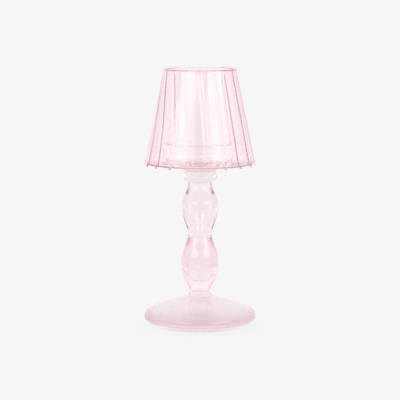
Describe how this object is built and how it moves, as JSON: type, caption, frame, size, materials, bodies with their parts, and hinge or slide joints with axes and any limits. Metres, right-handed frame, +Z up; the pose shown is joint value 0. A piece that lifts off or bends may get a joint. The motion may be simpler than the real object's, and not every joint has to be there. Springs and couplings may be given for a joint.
{
  "type": "candle lamp",
  "caption": "Glass candle lamp: a solid domed foot and bulged stem in pink glass, a clear saucer with a tea light cup, and a loose ribbed conical pink glass shade that lifts off.",
  "frame": {"origin": "on the table, under the middle of the foot", "axes": "+Z up along the lamp's axis, -Y towards the side that the picture shows, +X to its right"},
  "size_m": [0.0916, 0.0916, 0.2104],
  "materials": {
    "pink_glass": "transparent pale pink glass, polished",
    "clear_glass": "transparent colourless glass, polished"
  },
  "bodies": {
    "stand": {"foot": "pink_glass", "foot_button": "pink_glass", "stem": "pink_glass", "knop": "clear_glass", "saucer": "clear_glass", "candle_cup": "clear_glass"},
    "shade": {"shade": "pink_glass"}
  },
  "joints": [
    {"name": "shade_lift", "type": "slide", "parent": "stand", "child": "shade", "axis": [0, 0, 1], "range_m": [0, 0.06]}
  ]
}
